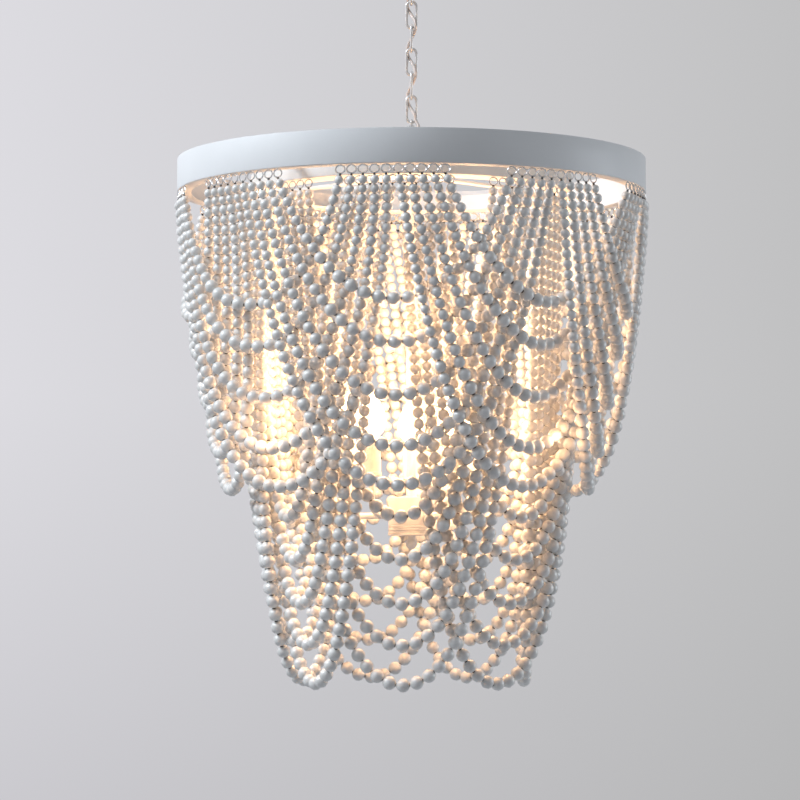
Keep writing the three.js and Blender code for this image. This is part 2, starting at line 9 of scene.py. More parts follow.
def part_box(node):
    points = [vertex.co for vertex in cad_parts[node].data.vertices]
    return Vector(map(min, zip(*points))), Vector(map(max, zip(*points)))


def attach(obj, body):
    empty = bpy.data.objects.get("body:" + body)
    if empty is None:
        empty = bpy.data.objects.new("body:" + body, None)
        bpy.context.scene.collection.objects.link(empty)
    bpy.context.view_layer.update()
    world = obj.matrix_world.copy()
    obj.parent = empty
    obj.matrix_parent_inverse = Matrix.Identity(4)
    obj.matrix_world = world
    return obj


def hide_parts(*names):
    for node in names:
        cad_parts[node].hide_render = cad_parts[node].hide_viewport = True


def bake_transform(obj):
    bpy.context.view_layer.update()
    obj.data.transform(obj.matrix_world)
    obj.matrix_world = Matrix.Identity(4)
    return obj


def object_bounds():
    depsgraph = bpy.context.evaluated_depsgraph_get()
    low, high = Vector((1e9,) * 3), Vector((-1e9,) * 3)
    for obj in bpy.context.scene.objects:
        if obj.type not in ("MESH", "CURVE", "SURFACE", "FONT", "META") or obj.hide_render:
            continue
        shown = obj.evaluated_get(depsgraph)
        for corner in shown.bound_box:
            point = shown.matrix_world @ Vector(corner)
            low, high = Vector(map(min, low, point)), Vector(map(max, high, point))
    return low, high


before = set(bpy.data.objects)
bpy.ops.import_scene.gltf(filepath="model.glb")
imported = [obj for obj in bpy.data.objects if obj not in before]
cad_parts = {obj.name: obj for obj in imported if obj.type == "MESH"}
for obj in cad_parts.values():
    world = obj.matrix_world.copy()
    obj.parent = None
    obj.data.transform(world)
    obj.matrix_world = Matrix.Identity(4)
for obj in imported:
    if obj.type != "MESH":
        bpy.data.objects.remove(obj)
cadBox = [list(corner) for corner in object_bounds()]

mm = 0.001
touchGap = 0.3 * mm  # between pieces that touch
up = Vector((0, 0, 1))
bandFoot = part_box("outer_band")[0].z
scene = bpy.context.scene
scene.view_settings.view_transform = "Standard"
linkNames = [f"chain_link_{number}" for number in range(1, 7)]
hangingBodies = ["ceiling_fitting"] + linkNames + ["chandelier"]


# The camera looks slightly up at the lamp from below its middle
camera = {
    "distance": 3.72,
    "left": 0.0147,
    "belowBand": 0.4757,
    "pitch": 3.26,
    "lens": 131.13,
    "sensor": 36.0,
    "clipEnd": 60,
}


def placeCamera():
    data = bpy.data.cameras.new("photoCamera")
    data.lens = camera["lens"]
    data.sensor_width = camera["sensor"]
    data.clip_end = camera["clipEnd"]
    eye = bpy.data.objects.new("photoCamera", data)
    eye.location = (-camera["left"], -camera["distance"], bandFoot - camera["belowBand"])
    eye.rotation_euler = (math.radians(90 + camera["pitch"]), 0, 0)
    scene.collection.objects.link(eye)
    scene.camera = eye


placeCamera()
print("camera placed")


# Shader maths as plain expressions: a wire is one socket, and an expression adds its nodes
class Wire:
    def __init__(self, shader, socket):
        self.shader = shader
        self.socket = socket

    def __add__(self, other):
        return self.shader.maths("ADD", self, other)

    def __mul__(self, other):
        return self.shader.maths("MULTIPLY", self, other)

    __radd__ = __add__
    __rmul__ = __mul__


class Shader:
    def __init__(self, tree):
        self.tree = tree

    def node(self, kind, settings=None, values=None, output=0):
        made = self.tree.nodes.new("ShaderNode" + kind)
        for name, value in (settings or {}).items():
            setattr(made, name, value)
        for name, value in (values or {}).items():
            if isinstance(value, Wire):
                self.tree.links.new(value.socket, made.inputs[name])
            else:
                made.inputs[name].default_value = value
        return Wire(self, made.outputs[output])

    def maths(self, operation, first, second):
        return self.node("Math", {"operation": operation}, {0: first, 1: second})

    def noise(self, coordinates, scale, detail=3.0, roughness=0.5):
        return self.node("TexNoise", {}, {
            "Vector": coordinates, "Scale": scale, "Detail": detail, "Roughness": roughness,
        })

    def between(self, low, high, share):
        low, high = [end if isinstance(end, Wire) else (*end, 1) for end in (low, high)]
        return self.node("Mix", {"data_type": "RGBA"}, {0: share, 6: low, 7: high}, 2)

    def bump(self, height, distance, strength=1.0):
        return self.node("Bump", {}, {"Height": height, "Distance": distance, "Strength": strength})


def makeMaterial(name, build):
    material = bpy.data.materials.new(name)
    material.use_nodes = True
    shader = Shader(material.node_tree)
    surface = material.node_tree.nodes["Principled BSDF"]
    position = shader.node("TexCoord", {}, {}, "Object")
    for socket, value in build(shader, position).items():
        if isinstance(value, Wire):
            shader.tree.links.new(value.socket, surface.inputs[socket])
        else:
            surface.inputs[socket].default_value = value
    return material


def stretched(shader, position, scale):
    return shader.node("Mapping", {}, {"Vector": position, "Scale": scale})


def whitePaint(shader, position):
    cloud = shader.noise(position, 14)
    peel = shader.noise(position, 420, 2)
    dust = shader.noise(position, 130, 4, 0.7)
    return {
        "Base Color": shader.between((0.72, 0.712, 0.702), (0.79, 0.782, 0.772), cloud),
        "Roughness": 0.46 + 0.16 * dust,
        "Normal": shader.bump(peel, 0.00012, 0.5),
        "Coat Weight": 0.08 * cloud,
    }


# White paint of the frame inside the hoops, with painted warm glow: it is paler and warmer cream
# than whitePaint, as if lit by the bulbs
def innerWhiteWithPaintedGlow(shader, position):
    cloud = shader.noise(position, 20)
    peel = shader.noise(position, 500, 2)
    return {
        "Base Color": shader.between((0.76, 0.735, 0.70), (0.84, 0.82, 0.79), cloud),
        "Roughness": 0.42 + 0.14 * cloud,
        "Normal": shader.bump(peel, 0.0001, 0.5),
    }


def beadPaint(shader, position):
    perBead = shader.noise(position, 55, 1)
    grain = shader.noise(stretched(shader, position, (1, 1, 5)), 380, 3, 0.6)
    pores = shader.noise(position, 1500, 2, 0.6)
    tone = perBead * 0.75 + grain * 0.25
    return {
        "Base Color": shader.between((0.67, 0.65, 0.62), (0.86, 0.84, 0.805), tone),
        "Roughness": 0.20 + 0.16 * grain,
        "Coat Weight": 0.5 + 0.4 * perBead,
        "Normal": shader.bump(grain * 0.6 + pores * 0.4, 0.00025, 0.6),
    }


def holeShadow(shader, position):
    speck = shader.noise(position, 700)
    return {
        "Base Color": shader.between((0.05, 0.04, 0.035), (0.11, 0.09, 0.07), speck),
        "Roughness": 0.8 + 0.1 * speck,
    }


def darkWire(shader, position):
    patina = shader.noise(position, 260)
    return {
        "Base Color": shader.between((0.035, 0.032, 0.03), (0.10, 0.09, 0.08), patina),
        "Metallic": 0.7,
        "Roughness": 0.36 + 0.2 * patina,
    }


def ringWire(shader, position):
    patina = shader.noise(position, 300)
    drawn = shader.noise(position, 1200)
    return {
        "Base Color": shader.between((0.52, 0.51, 0.50), (0.86, 0.85, 0.83), patina),
        "Metallic": 0.75,
        "Roughness": 0.16 + 0.14 * drawn,
        "Normal": shader.bump(drawn, 0.00005, 0.4),
    }


def chainPaint(shader, position):
    cloud = shader.noise(position, 90)
    drips = shader.noise(stretched(shader, position, (1, 1, 0.3)), 420)
    return {
        "Base Color": shader.between((0.58, 0.555, 0.53), (0.76, 0.745, 0.73), cloud),
        "Metallic": 0.25 + 0.2 * cloud,
        "Roughness": 0.20 + 0.14 * drips,
        "Coat Weight": 0.4 + 0.2 * cloud,
        "Normal": shader.bump(drips, 0.0001, 0.4),
    }


def platedSteel(shader, position):
    brushed = shader.noise(stretched(shader, position, (1, 1, 12)), 300)
    return {
        "Base Color": shader.between((0.42, 0.42, 0.43), (0.62, 0.62, 0.62), brushed),
        "Metallic": 0.95,
        "Roughness": 0.28 + 0.22 * brushed,
        "Normal": shader.bump(brushed, 0.00004, 0.5),
    }


def clearJacket(shader, position):
    strands = shader.noise(stretched(shader, position, (1, 1, 0.25)), 520)
    return {
        "Base Color": shader.between((0.58, 0.47, 0.41), (0.82, 0.75, 0.70), strands),
        "Roughness": 0.10 + 0.10 * strands,
        "Coat Weight": 0.5 + 0.2 * strands,
        "Normal": shader.bump(strands, 0.00008, 0.4),
    }


def candleSleeve(shader, position):
    cloud = shader.noise(position, 45)
    fine = shader.noise(stretched(shader, position, (1, 1, 0.2)), 700)
    return {
        "Base Color": shader.between((0.80, 0.76, 0.68), (0.88, 0.85, 0.79), cloud),
        "Roughness": 0.40 + 0.15 * fine,
        "Normal": shader.bump(fine, 0.00008, 0.4),
    }


def litGlass(shader, position):
    frost = shader.noise(position, 260)
    return {
        "Base Color": shader.between((0.90, 0.84, 0.74), (0.96, 0.93, 0.88), frost),
        "Roughness": 0.25 + 0.2 * frost,
        "Emission Color": shader.between((1.0, 0.62, 0.32), (1.0, 0.68, 0.38), frost),
        "Emission Strength": 6.0,
    }


def lampCapMetal(shader, position):
    wear = shader.noise(position, 500)
    return {
        "Base Color": shader.between((0.55, 0.50, 0.40), (0.72, 0.67, 0.56), wear),
        "Metallic": 0.95,
        "Roughness": 0.22 + 0.2 * wear,
    }


finishes = {build.__name__: makeMaterial(build.__name__, build) for build in (
    whitePaint, innerWhiteWithPaintedGlow, beadPaint, holeShadow, darkWire, ringWire, chainPaint,
    platedSteel, clearJacket, candleSleeve, litGlass, lampCapMetal,
)}
print("materials made:", len(finishes))


# A finished piece sits at the origin with its place in its mesh
def addPiece(name, work, finishNames, body, replaced=(), smoothAngle=38):
    bmesh.ops.recalc_face_normals(work, faces=work.faces)
    mesh = bpy.data.meshes.new(name)
    work.to_mesh(mesh)
    work.free()
    mesh.shade_smooth()
    mesh.set_sharp_from_angle(angle=math.radians(smoothAngle))
    for finishName in finishNames:
        mesh.materials.append(finishes[finishName])
    piece = bpy.data.objects.new(name, mesh)
    scene.collection.objects.link(piece)
    if body:
        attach(piece, body)
    if replaced:
        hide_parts(*replaced)
    return piece


# Turns a profile of (radius, height) points about Z; a closed profile returns to its start
def turnProfile(work, profile, steps, closed=False):
    corners = [work.verts.new((radius, 0, height)) for radius, height in profile]
    edges = [work.edges.new(pair) for pair in zip(corners, corners[1:])]
    if closed:
        edges.append(work.edges.new((corners[-1], corners[0])))
    bmesh.ops.spin(work, geom=corners + edges, axis=up, cent=(0, 0, 0), angle=math.tau,
                   steps=steps, use_merge=True)
    bmesh.ops.remove_doubles(work, verts=work.verts, dist=0.00001)


# A turned piece; edge is the bevel of its sharp edges
def turned(profile, steps, closed=False, edge=0.0, at=(0, 0), sharp=50):
    work = bmesh.new()
    turnProfile(work, profile, steps, closed)
    bmesh.ops.recalc_face_normals(work, faces=work.faces)
    if edge:
        corners = [line for line in work.edges
                   if len(line.link_faces) == 2 and line.calc_face_angle(0) > math.radians(sharp)]
        bmesh.ops.bevel(work, geom=corners, offset=edge, segments=2, profile=0.5, affect="EDGES",
                        material=-1)
    bmesh.ops.translate(work, verts=work.verts, vec=(at[0], at[1], 0))
    return work


# The closed profile of a plain ring
def ringProfile(inner, outer, low, high):
    return [(inner, low), (outer, low), (outer, high), (inner, high)]


# The rounded lower corner of a profile, from its foot up to its side
def roundCorner(radius, foot, bend, steps, wall=0.0):
    angles = [math.pi / 2 * step / steps for step in range(steps + 1)]
    return [(radius - bend + (bend - wall) * math.sin(angle),
             foot + bend - (bend - wall) * math.cos(angle)) for angle in angles]


# Profile points, each as how far in from the radius and how far up or down from a height
def edgePoints(radius, height, points, way=1):
    return [(radius - inset, height + way * rise) for inset, rise in points]


# Takes one bmesh into another and frees it
def absorb(work, other):
    carrier = bpy.data.meshes.new("carrier")
    other.to_mesh(carrier)
    other.free()
    work.from_mesh(carrier)
    bpy.data.meshes.remove(carrier)


# A round wire drawn along straight runs and bows; the last ring meets the first when closed
def bentWire(start, heading, wireRadius, sides, runs, closed):
    work = bmesh.new()
    turn = Vector(heading).to_track_quat("Z", "Y").to_matrix().to_4x4()
    place = Matrix.Translation(start) @ turn
    bmesh.ops.create_circle(work, cap_ends=False, segments=sides, radius=wireRadius, matrix=place)
    firstRing = work.edges[:]
    ring = firstRing
    for run in runs:
        if "along" in run:
            grown = bmesh.ops.extrude_edge_only(work, edges=ring)["geom"]
            moved = [part for part in grown if isinstance(part, bmesh.types.BMVert)]
            bmesh.ops.translate(work, verts=moved, vec=run["along"])
            ring = [part for part in grown if isinstance(part, bmesh.types.BMEdge)
                    and all(corner in moved for corner in part.verts)]
        else:
            corners = list({corner for line in ring for corner in line.verts})
            swept = bmesh.ops.spin(work, geom=corners + ring, cent=run["centre"], axis=run["axis"],
                                   angle=run["angle"], steps=run["steps"])
            ring = [part for part in swept["geom_last"] if isinstance(part, bmesh.types.BMEdge)]
    if closed:
        bmesh.ops.remove_doubles(work, verts=work.verts, dist=0.00002)
    else:
        bmesh.ops.holes_fill(work, edges=firstRing + ring, sides=0)
    return work


# A wire ring in the XZ plane
def wireRing(middleRadius, wireRadius, centre, sides, steps, tall=1.0, turn=0.0):
    work = bmesh.new()
    bmesh.ops.create_circle(work, cap_ends=False, segments=sides, radius=wireRadius,
                            matrix=Matrix.Translation((middleRadius, 0, 0)))
    bmesh.ops.spin(work, geom=work.verts[:] + work.edges[:], cent=(0, 0, 0), axis=(0, 1, 0),
                   angle=math.tau, steps=steps, use_merge=True)
    bmesh.ops.remove_doubles(work, verts=work.verts, dist=0.00001)
    bmesh.ops.scale(work, verts=work.verts, vec=(1, 1, tall))
    bmesh.ops.rotate(work, verts=work.verts, matrix=Matrix.Rotation(turn, 3, "Z"))
    bmesh.ops.translate(work, verts=work.verts, vec=centre)
    return work


# Curves with a round section, turned to one mesh
def tubesAlong(paths, radius, roundness, cyclic=False, smooth=False):
    data = bpy.data.curves.new("tubes", "CURVE")
    data.dimensions = "3D"
    data.bevel_depth = radius
    data.bevel_resolution = roundness
    data.use_fill_caps = not cyclic
    data.resolution_u = 8
    for path in paths:
        spline = data.splines.new("BEZIER" if smooth else "POLY")
        spline.use_cyclic_u = cyclic
        knots = spline.bezier_points if smooth else spline.points
        knots.add(len(path) - 1)
        for knot, point in zip(knots, path):
            if smooth:
                knot.co = point
                knot.handle_left_type = knot.handle_right_type = "AUTO"
            else:
                knot.co = (*point, 1)
    holder = bpy.data.objects.new("tubes", data)
    scene.collection.objects.link(holder)
    bpy.context.view_layer.update()
    solid = holder.evaluated_get(bpy.context.evaluated_depsgraph_get())
    mesh = bpy.data.meshes.new_from_object(solid)
    work = bmesh.new()
    work.from_mesh(mesh)
    bpy.data.objects.remove(holder)
    bpy.data.curves.remove(data)
    bpy.data.meshes.remove(mesh)
    return work


# Chain: the contacts are the heights at which the links hang in each other
chain = {
    "wire": 3.5 * mm,
    "width": 16 * mm,
    "pitch": 30.6 * mm,
    "topToContact": 3.6 * mm,
    "sides": 14,
    "bowSteps": 14,
    "straightSteps": 4,
    "weldSwell": 1.14,
}
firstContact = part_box("chain_link_1")[1].z - chain["topToContact"]
contacts = [firstContact - step * chain["pitch"] for step in range(len(linkNames) + 1)]


# Supply cord: down through the canopy and through every link, always on one diagonal
supplyCord = {
    "diameter": 4.2 * mm,
    "sway": 7.8 * mm,
    "pastLoop": 12 * mm,
    "capShare": 0.6,
    "roundness": 3,
    "blendReach": 11 * mm,
    "bentFromBelow": 3,
}


def cordPoints():
    hole = supplyCord["pastLoop"]
    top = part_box("supply_cord")[1].z
    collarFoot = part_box("canopy_collar")[0].z
    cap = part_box("stem_cap")[1]
    capPlace = cap.x * supplyCord["capShare"] - supplyCord["diameter"] / 2
    points = [Vector((hole, -hole, height)) for height in (top, (top + collarFoot) / 2, collarFoot)]
    sway = supplyCord["sway"] / math.sqrt(2)
    for quarter in range(len(linkNames) * 4 + 1):
        offset = sway * math.cos(math.pi / 4 * quarter)
        points.append(Vector((offset, -offset, firstContact - quarter * chain["pitch"] / 4)))
    points.append(Vector((capPlace, -capPlace, cap.z)))
    points.append(Vector((capPlace, -capPlace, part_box("supply_cord")[0].z)))
    return points


# The cord is cut half way between the contacts, into one length round each contact
def makeCord():
    whole = tubesAlong([cordPoints()], supplyCord["diameter"] / 2, supplyCord["roundness"],
                       smooth=True)
    carrier = bpy.data.meshes.new("cordCarrier")
    whole.to_mesh(carrier)
    whole.free()
    middles = [(first + second) / 2 for first, second in zip(contacts, contacts[1:])]
    cuts = [None] + middles + [None]
    for number, contact in enumerate(contacts):
        work = bmesh.new()
        work.from_mesh(carrier)
        for height, above in ((cuts[number], True), (cuts[number + 1], False)):
            if height is None:
                continue
            bmesh.ops.bisect_plane(work, geom=work.verts[:] + work.edges[:] + work.faces[:],
                                   plane_co=(0, 0, height), plane_no=up, clear_outer=above,
                                   clear_inner=not above)
            rim = [line for line in work.edges if line.is_boundary]
            bmesh.ops.holes_fill(work, edges=rim, sides=0)
        replaced = ("supply_cord",) if number == 0 else ()
        piece = addPiece(f"supply_cord_length_{number + 1}", work, ["clearJacket"], None,
                         replaced)
        reach = Vector((0, 0, supplyCord["blendReach"]))
        middle = Vector((0, 0, contact))
        ends = [(hangingBodies[number], middle + reach),
                (hangingBodies[number + 1], middle - reach)]
        if number == supplyCord["bentFromBelow"]:
            ends.reverse()
        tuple(ends[0][1])
        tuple(ends[1][1])
        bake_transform(piece)
    bpy.data.meshes.remove(carrier)


makeCord()
print("cord made in", len(contacts), "lengths")


# Ceiling fitting: the canopy, its collar and the loop that carries the chain; then the links
ceilingFitting = {
    "coverSteps": 96, "edgeRadius": 7 * mm, "edgeSteps": 8, "wall": 1.2 * mm,
    "coverBore": 5.3 * mm, "bushWall": 2.1 * mm, "bushGap": 0.1 * mm, "bushBelow": 1.2 * mm,
    "collarChamfer": 1 * mm, "ribInset": 0.12 * mm, "ribDepth": 0.25 * mm,
    "loopRadius": 10 * mm, "loopWire": 4 * mm, "bodyRadius": 8 * mm, "bodyFootEdge": 0.8 * mm,
    "bodyTopEdge": 0.6 * mm, "socketRadius": 5.4 * mm, "socketFloor": 2.4 * mm,
}


def makeCanopyCover():
    low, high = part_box("canopy_cover")
    radius = high.x
    wall = ceilingFitting["wall"]
    bore = ceilingFitting["coverBore"]
    outer, inner = [roundCorner(radius, low.z, ceilingFitting["edgeRadius"],
                                ceilingFitting["edgeSteps"], thickness) for thickness in (0, wall)]
    profile = [(bore, low.z)] + outer + [(radius, high.z), (radius - wall, high.z)]
    profile += inner[::-1] + [(bore, low.z + wall)]
    addPiece("canopy_cover_shell", turned(profile, ceilingFitting["coverSteps"], closed=True),
             ["whitePaint"], "ceiling_fitting", ["canopy_cover"])
    bush = supplyCord["diameter"] / 2 + ceilingFitting["bushGap"]
    place = (supplyCord["pastLoop"], -supplyCord["pastLoop"])
    ring = ringProfile(bush, bush + ceilingFitting["bushWall"],
                       low.z - ceilingFitting["bushBelow"], low.z + 0.3 * mm)
    addPiece("canopy_cord_bush", turned(ring, 28, closed=True, edge=0.3 * mm, at=place),
             ["candleSleeve"], "ceiling_fitting")


def makeCollar():
    low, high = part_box("canopy_collar")
    radius = high.x
    bore = ceilingFitting["coverBore"]
    edge = ceilingFitting["collarChamfer"]
    work = turned([(bore, low.z), (radius - edge, low.z), (radius, low.z + edge),
                   (radius, high.z - edge), (radius - edge, high.z), (bore, high.z)],
                  72, closed=True)
    side = [face for face in work.faces if abs(face.normal.z) < 0.1
            and face.calc_center_median().xy.length > radius - 0.3 * mm]
    bmesh.ops.inset_individual(work, faces=side[::2], thickness=ceilingFitting["ribInset"],
                               depth=-ceilingFitting["ribDepth"])
    addPiece("canopy_collar_nut", work, ["whitePaint"], "ceiling_fitting",
             ["canopy_collar"], 25)


def makeCanopyLoop():
    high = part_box("canopy_loop")[1]
    wire = ceilingFitting["loopWire"] / 2
    middle = ceilingFitting["loopRadius"]
    centre = contacts[0] + middle - wire - touchGap / 2
    foot = centre + middle
    body = ceilingFitting["bodyRadius"]
    footEdge = ceilingFitting["bodyFootEdge"]
    topEdge = ceilingFitting["bodyTopEdge"]
    socket = ceilingFitting["socketRadius"]
    floor = foot + ceilingFitting["socketFloor"]
    work = turned([(0, foot), (body - footEdge, foot), (body, foot + footEdge),
                   (body, high.z - topEdge), (body - topEdge, high.z), (socket, high.z),
                   (socket, floor), (0, floor)], 48)
    absorb(work, wireRing(middle, wire, (0, 0, centre), 14, 48))
    addPiece("canopy_hanging_loop", work, ["chainPaint"], "ceiling_fitting",
             ["canopy_loop"])


def makeLinks():
    wire = chain["wire"] / 2
    halfWidth = chain["width"] / 2 - wire
    for number, name in enumerate(linkNames):
        low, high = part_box(name)
        middle = (low.z + high.z) / 2
        halfLength = (high.z - low.z) / 2 - wire
        bow = halfLength - halfWidth
        down = Vector((0, 0, -2 * bow / chain["straightSteps"]))
        runs = []
        for side, step in ((-1, down), (1, -down)):
            runs += [{"along": step}] * chain["straightSteps"]
            runs.append({"centre": (0, 0, side * bow), "axis": (0, 1, 0), "angle": math.pi,
                         "steps": chain["bowSteps"]})
        work = bentWire((halfWidth, 0, bow), (0, 0, -1), wire, chain["sides"], runs, True)
        weld = [corner for corner in work.verts if corner.co.x < 0 and abs(corner.co.z) < wire / 4]
        bmesh.ops.scale(work, verts=weld, vec=(chain["weldSwell"], chain["weldSwell"], 1),
                        space=Matrix.Translation((halfWidth, 0, 0)))
        if number % 2 == 0:
            bmesh.ops.rotate(work, verts=work.verts, matrix=Matrix.Rotation(math.pi / 2, 3, "Z"))
        bmesh.ops.translate(work, verts=work.verts, vec=(0, 0, middle))
        addPiece(f"{name}_wire", work, ["chainPaint"], name, [name])


makeCanopyCover()
makeCollar()
makeCanopyLoop()
makeLinks()
print("ceiling fitting and chain made")


# Stem, its cap and the eye that the chain lifts
stemParts = {
    "radius": 6.5 * mm, "wall": 1.5 * mm, "capWall": 1.5 * mm, "capTopWall": 1.65 * mm,
    "capTopRadius": 8 * mm, "capBore": 5 * mm, "capSteps": 10, "eyeWire": 3 * mm,
    "eyeWidth": 9 * mm, "eyeHeight": 5.2 * mm, "shank": 4.7 * mm, "washer": 6.5 * mm,
    "washerHeight": 1.5 * mm,
}


# A white piece of the lamp's frame, which hides one CAD node
def addFramePiece(name, work, node, finish="innerWhiteWithPaintedGlow", smoothAngle=38):
    addPiece(name, work, [finish], "chandelier", [node], smoothAngle)


def makeStem():
    low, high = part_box("stem")
    radius = stemParts["radius"]
    profile = ringProfile(radius - stemParts["wall"], radius, low.z, high.z)
    addFramePiece("stem_tube", turned(profile, 40, closed=True, edge=0.3 * mm), "stem")


def makeStemCap():
    low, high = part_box("stem_cap")
    rim = high.x
    end = math.acos(stemParts["capTopRadius"] / rim)
    rise = (high.z - low.z) / math.sin(end)
    angles = [end * step / stemParts["capSteps"] for step in range(stemParts["capSteps"] + 1)]
    outer = [(rim * math.cos(angle), low.z + rise * math.sin(angle)) for angle in angles]
    inner = [((rim - stemParts["capWall"]) * math.cos(angle),
              low.z + (rise - stemParts["capTopWall"]) * math.sin(angle)) for angle in angles]
    bore = stemParts["capBore"]
    profile = outer + [(bore, high.z), (bore, inner[-1][1])] + inner[::-1]
    addFramePiece("stem_cap_dome", turned(profile, 64, closed=True), "stem_cap")


def makeTopEye():
    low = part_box("top_eye")[0]
    wire = stemParts["eyeWire"] / 2
    wide = (stemParts["eyeWidth"] + stemParts["eyeWire"]) / 2
    tall = (stemParts["eyeHeight"] + stemParts["eyeWire"]) / 2
    centre = contacts[-1] + touchGap / 2 - stemParts["eyeHeight"] / 2
    foot = centre - tall
    shank = stemParts["shank"]
    washer = stemParts["washer"]
    under = foot - stemParts["washerHeight"]
    work = turned([(0, low.z), (shank, low.z), (shank, under), (washer - 0.3 * mm, under),
                   (washer, under + 0.3 * mm), (washer, foot - 0.3 * mm),
                   (washer - 0.5 * mm, foot), (0, foot)], 40)
    absorb(work, wireRing(wide, wire, (0, 0, centre), 12, 36, tall / wide, math.pi / 2))
    addPiece("top_eye_loop", work, ["chainPaint"], "chandelier", ["top_eye"])


# The two hoops: thin sheet with a flange turned in along the lower edge
hoops = {"wall": 1.2 * mm, "steps": 240, "edge": 0.35 * mm, "foldRadius": 1.5 * mm, "foldSteps": 4,
         "outerFlange": 18 * mm, "innerFlange": 34 * mm}


def makeHoop(name, node, flange, finish):
    low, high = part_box(node)
    radius = high.x
    wall = hoops["wall"]
    corner = roundCorner(radius, low.z, hoops["foldRadius"], hoops["foldSteps"])
    profile = [(radius - flange, low.z)] + corner + [
        (radius, high.z), (radius - wall, high.z), (radius - wall, low.z + wall),
        (radius - flange, low.z + wall)]
    work = turned(profile, hoops["steps"], closed=True, edge=hoops["edge"], sharp=60)
    addFramePiece(name, work, node, finish, 30)


makeStem()
makeStemCap()
makeTopEye()
makeHoop("outer_hoop", "outer_band", hoops["outerFlange"], "whitePaint")
makeHoop("inner_hoop", "inner_band", hoops["innerFlange"], "innerWhiteWithPaintedGlow")
print("stem and hoops made")


# Hub, its cover and the finial; the ridges and edges are given as points for edgePoints
hub = {
    "radius": 29.5 * mm, "wall": 1.5 * mm, "bore": 6.8 * mm, "steps": 72,
    "ridgeCount": 3, "ridgePitch": 3.6 * mm, "ridge": [(0, 0), (0, 2.6 * mm), (0.9 * mm, 3 * mm)],
    "bodyInset": 0.2 * mm, "topEdge": [(0.2 * mm, 2 * mm), (0.7 * mm, 0.6 * mm), (2.2 * mm, 0)],
    "coverBore": 4.9 * mm, "coverEdge": 0.7 * mm, "ballRadius": 7.5 * mm, "ballSteps": 14,
    "neck": 5.4 * mm, "neckFlare": 0.5 * mm, "neckHeight": 1 * mm, "stud": 4.6 * mm,
}


def makeHubDrum():
    low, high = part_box("hub_body")
    radius = hub["radius"]
    wall = hub["wall"]
    bore = hub["bore"]
    profile = [(bore, high.z - wall), (radius - wall, high.z - wall), (radius - wall, low.z)]
    for ridge in range(hub["ridgeCount"]):
        foot = low.z + ridge * hub["ridgePitch"]
        profile += edgePoints(radius, foot, hub["ridge"])
    profile.append((radius - hub["bodyInset"], foot + hub["ridgePitch"]))
    profile += edgePoints(radius, high.z, hub["topEdge"], -1) + [(bore, high.z)]
    addFramePiece("hub_drum", turned(profile, hub["steps"], closed=True), "hub_body")


def makeHubCover():
    low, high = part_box("hub_cover")
    profile = ringProfile(hub["coverBore"], high.x, low.z, high.z)
    plate = turned(profile, hub["steps"], closed=True, edge=hub["coverEdge"])
    addFramePiece("hub_cover_plate", plate, "hub_cover")


def makeFinial():
    low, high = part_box("finial")
    ball = hub["ballRadius"]
    neck = hub["neck"]
    stud = hub["stud"]
    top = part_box("hub_cover")[0].z - touchGap
    sweep = math.pi - math.asin(neck / ball)
    profile = [(0, low.z)]
    for step in range(1, hub["ballSteps"] + 1):
        angle = sweep * step / hub["ballSteps"] - math.pi / 2
        profile.append((ball * math.cos(angle), low.z + ball + ball * math.sin(angle)))
    profile += [(neck - hub["neckFlare"], top - hub["neckHeight"]), (neck, top), (stud, top),
                (stud, high.z), (0, high.z)]
    addFramePiece("finial_ball", turned(profile, 40), "finial")


# Arms, candle sleeves and bulbs; the outline of the glass runs from its tip to its foot, as
# shares of its height and of its radius
lamps = {
    "count": 5, "circle": 85 * mm, "armRadius": 4 * mm, "armSides": 18, "armStart": 24 * mm,
    "bend": 18 * mm, "bendSteps": 10, "collarReach": 0.6 * mm, "collarWire": 1.1 * mm,
    "collarGap": 0.2 * mm, "sleeve": 12 * mm, "sleeveBore": 7.3 * mm, "boreDepth": 26 * mm,
    "sleeveFoot": [(0.8 * mm, 0), (0, 0.8 * mm), (0, 5 * mm), (0.7 * mm, 5.6 * mm)],
    "sleeveTop": [(0.7 * mm, 0.6 * mm), (1.3 * mm, 0)],
    "capRadius": 7 * mm, "capContact": 3 * mm, "capLap": 1 * mm, "threadFoot": 3 * mm,
    "threadTurns": 6, "threadPitch": 3.4 * mm, "threadDepth": 0.7 * mm,
    "glass": 18 * mm, "glassFoot": 25.9 * mm,
    "glassOutline": [(1.0, 0.0), (0.97, 0.08), (0.9, 0.2), (0.8, 0.37), (0.68, 0.59), (0.55, 0.82),
                     (0.42, 0.97), (0.32, 1.0), (0.24, 0.95), (0.14, 0.78), (0.05, 0.5),
                     (0.0, 0.42)],
}


def lampAngle(number):
    return math.tau * (number - 0.5) / lamps["count"]


# Turns a piece that was made in front of the hub to the side of its lamp
def turnToLamp(work, number):
    bmesh.ops.rotate(work, verts=work.verts, matrix=Matrix.Rotation(lampAngle(number), 3, "Z"))


def makeArm(number):
    low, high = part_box(f"lamp_arm_{number}")
    radius = lamps["armRadius"]
    bend = lamps["bend"]
    start = lamps["armStart"]
    end = lamps["circle"] - bend
    height = low.z + radius
    runs = [{"along": Vector((0, start - end, 0))},
            {"centre": (0, -end, height + bend), "axis": (-1, 0, 0), "angle": math.pi / 2,
             "steps": lamps["bendSteps"]},
            {"along": Vector((0, 0, high.z - height - bend))}]
    work = bentWire((0, -start, height), (0, -1, 0), radius, lamps["armSides"], runs, False)
    absorb(work, wireRing(radius + lamps["collarReach"], lamps["collarWire"],
                          (0, -hub["radius"] - lamps["collarGap"], height), 8, 24))
    turnToLamp(work, number)
    addFramePiece(f"lamp_arm_{number}_bar", work, f"lamp_arm_{number}")


